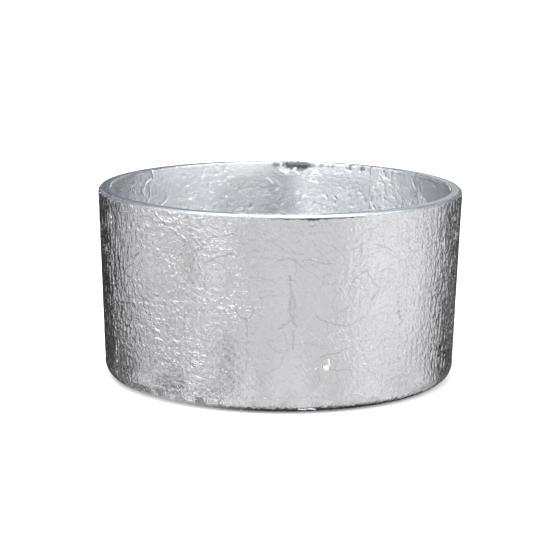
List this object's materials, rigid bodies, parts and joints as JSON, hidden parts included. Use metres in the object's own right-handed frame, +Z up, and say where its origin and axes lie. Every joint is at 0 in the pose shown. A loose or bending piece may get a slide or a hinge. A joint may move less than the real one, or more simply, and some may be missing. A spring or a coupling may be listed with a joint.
{
  "type": "candle vessel",
  "caption": "Round, slightly tapered glass candle vessel with a thick polished rim, leafed in crumpled silver on the outside; holds poured wax and wicks.",
  "frame": {"origin": "centre of the circle that the standing ring rests on", "axes": "+Z up through the mouth; the vessel is round about Z, and a seam between two sheets of leaf lies on the -Y side, which is the front"},
  "size_m": [0.12, 0.12, 0.0632],
  "materials": {
    "glass": "clear pressed glass with a faint blue-grey tint and a fire-polished rim",
    "silver_leaf": "crumpled silver-coloured metal leaf, bright, with fine creases and small tears",
    "lacquer": "clear gloss lacquer film"
  },
  "bodies": {
    "root": {"glass_vessel": "glass", "wall_leaf_1": "silver_leaf", "wall_leaf_2": "silver_leaf", "wall_leaf_3": "silver_leaf", "wall_leaf_4": "silver_leaf", "wall_leaf_5": "silver_leaf", "wall_lacquer": "lacquer", "base_leaf": "silver_leaf", "base_lacquer": "lacquer"}
  },
  "joints": []
}
